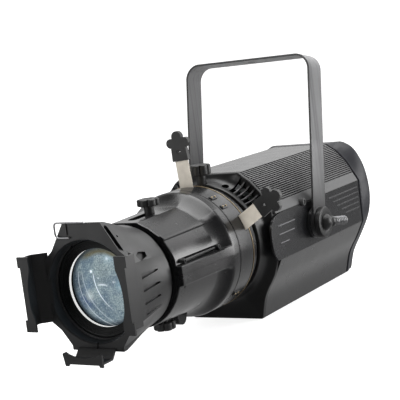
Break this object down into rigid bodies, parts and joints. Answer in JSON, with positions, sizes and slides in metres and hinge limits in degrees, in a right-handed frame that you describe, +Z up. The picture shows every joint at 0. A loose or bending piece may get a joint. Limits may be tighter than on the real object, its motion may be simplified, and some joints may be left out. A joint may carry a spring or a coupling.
{
  "type": "ellipsoidal spotlight",
  "caption": "LED profile spotlight: finned housing, rotating barrel with framing shutters, focusing lens tube with colour-frame holder, and a hanging yoke.",
  "frame": {"origin": "on the flat underside of the housing, straight below the yoke pivot", "axes": "+Z up, -Y along the beam, +X to the right of someone standing behind the light"},
  "size_m": [0.3313, 0.693, 0.3899],
  "materials": {
    "black_paint": "satin black powder coat",
    "cover_paint": "smoother satin black paint",
    "yoke_paint": "fine matt black powder coat",
    "black_plastic": "matt moulded black",
    "black_rubber": "matt black",
    "blade_steel": "warm bare steel",
    "bright_ring": "bright turned",
    "aluminium": "plain machined",
    "plated_steel": "zinc plated",
    "lens_glass": "coated, faint blue",
    "display_glass": "dark window",
    "circuit_board": "green board"
  },
  "bodies": {
    "housing": {"housing_shell": "black_paint", "lower_tray": "black_paint", "side_cover_right": "cover_paint", "side_cover_left": "cover_paint", "front_bezel": "black_paint", "rear_cap": "cover_paint", "seam_gasket": "black_rubber", "rear_panel": "black_paint", "power_inlet": "black_plastic", "power_outlet": "black_plastic", "data_input": "plated_steel", "data_output": "plated_steel", "display_window": "display_glass", "fan_frame": "black_plastic", "heat_sink": "aluminium", "led_board": "circuit_board", "collimator_tube": "aluminium", "condenser_lens": "lens_glass", "driver_box": "plated_steel", "trunnion_right": "black_paint", "trunnion_left": "black_paint"},
    "barrel": {"barrel_upper": "black_paint", "barrel_lower": "black_paint", "shutter_ring": "black_paint", "shutter_shim": "blade_steel", "gate_plate": "plated_steel", "barrel_collar": "black_paint"},
    "lens_tube_group": {"lens_tube": "black_paint", "lens_rim": "bright_ring", "front_lens": "lens_glass", "rear_lens": "lens_glass", "front_holder": "black_paint"},
    "frame_retainer": {"retaining_clip": "plated_steel"},
    "focus_knob_upper": {"focus_knob_top": "black_plastic"},
    "focus_knob_lower": {"focus_knob_bottom": "black_plastic"},
    "barrel_lock": {"barrel_lock_knob": "black_plastic"},
    "yoke": {"yoke_strap": "yoke_paint"},
    "yoke_lock_r": {"yoke_lock_right": "black_plastic"},
    "yoke_lock_l": {"yoke_lock_left": "black_plastic"},
    "fan": {"fan_rotor": "black_plastic"},
    "shutter_top": {"shutter_blade_top": "blade_steel", "shutter_handle_top": "black_plastic"},
    "shutter_right": {"shutter_blade_right": "blade_steel", "shutter_handle_right": "black_plastic"},
    "shutter_left": {"shutter_blade_left": "blade_steel", "shutter_handle_left": "black_plastic"},
    "shutter_bottom": {"shutter_blade_bottom": "blade_steel", "shutter_handle_bottom": "black_plastic"},
    "button_1": {"menu_button_1": "black_rubber"},
    "button_2": {"menu_button_2": "black_rubber"},
    "button_3": {"menu_button_3": "black_rubber"},
    "button_4": {"menu_button_4": "black_rubber"}
  },
  "joints": [
    {"name": "yoke_tilt", "type": "hinge", "parent": "housing", "child": "yoke", "pos_m": [0, 0, 0.1244], "axis": [1, 0, 0], "range_deg": [-120, 55]},
    {"name": "yoke_lock_turn_right", "type": "hinge", "parent": "yoke", "child": "yoke_lock_r", "pos_m": [0, 0, 0.1244], "axis": [1, 0, 0], "range_deg": [-120, 120]},
    {"name": "yoke_lock_turn_left", "type": "hinge", "parent": "yoke", "child": "yoke_lock_l", "pos_m": [0, 0, 0.1244], "axis": [-1, 0, 0], "range_deg": [-120, 120]},
    {"name": "barrel_rotation", "type": "hinge", "parent": "housing", "child": "barrel", "pos_m": [0, -0.15, 0.1244], "axis": [0, 1, 0], "range_deg": [-25, 25]},
    {"name": "barrel_lock_turn", "type": "hinge", "parent": "housing", "child": "barrel_lock", "pos_m": [0, -0.149, 0.2344], "axis": [0, 0, 1], "range_deg": [0, 270]},
    {"name": "focus_slide", "type": "slide", "parent": "barrel", "child": "lens_tube_group", "axis": [0, -1, 0], "range_m": [0, 0.04]},
    {"name": "focus_lock_turn_top", "type": "hinge", "parent": "lens_tube_group", "child": "focus_knob_upper", "pos_m": [0, -0.294, 0.2144], "axis": [0, 0, 1], "range_deg": [0, 270]},
    {"name": "focus_lock_turn_bottom", "type": "hinge", "parent": "lens_tube_group", "child": "focus_knob_lower", "pos_m": [0, -0.294, 0.0344], "axis": [0, 0, -1], "range_deg": [0, 270]},
    {"name": "frame_retainer_swing", "type": "hinge", "parent": "lens_tube_group", "child": "frame_retainer", "pos_m": [0, -0.4526, 0.2176], "axis": [-1, 0, 0], "range_deg": [0, 100]},
    {"name": "shutter_slide_top", "type": "slide", "parent": "barrel", "child": "shutter_top", "axis": [0.0698, 0, -0.9976], "range_m": [0, 0.035]},
    {"name": "shutter_slide_right", "type": "slide", "parent": "barrel", "child": "shutter_right", "axis": [-0.848, 0, -0.5299], "range_m": [-0.007, 0.028]},
    {"name": "shutter_slide_left", "type": "slide", "parent": "barrel", "child": "shutter_left", "axis": [1, 0, 0], "range_m": [0, 0.035]},
    {"name": "shutter_slide_bottom", "type": "slide", "parent": "barrel", "child": "shutter_bottom", "axis": [0.829, 0, 0.5592], "range_m": [0, 0.035]},
    {"name": "fan_spin", "type": "hinge", "parent": "housing", "child": "fan", "pos_m": [0, 0.178, 0.1664], "axis": [0, 1, 0], "continuous": true},
    {"name": "button_press_1", "type": "slide", "parent": "housing", "child": "button_1", "axis": [0, -1, 0], "range_m": [0, 0.001], "stiffness_N_per_m": 400, "springref_m": -0.0005},
    {"name": "button_press_2", "type": "slide", "parent": "housing", "child": "button_2", "axis": [0, -1, 0], "range_m": [0, 0.001], "stiffness_N_per_m": 400, "springref_m": -0.0005},
    {"name": "button_press_3", "type": "slide", "parent": "housing", "child": "button_3", "axis": [0, -1, 0], "range_m": [0, 0.001], "stiffness_N_per_m": 400, "springref_m": -0.0005},
    {"name": "button_press_4", "type": "slide", "parent": "housing", "child": "button_4", "axis": [0, -1, 0], "range_m": [0, 0.001], "stiffness_N_per_m": 400, "springref_m": -0.0005}
  ]
}
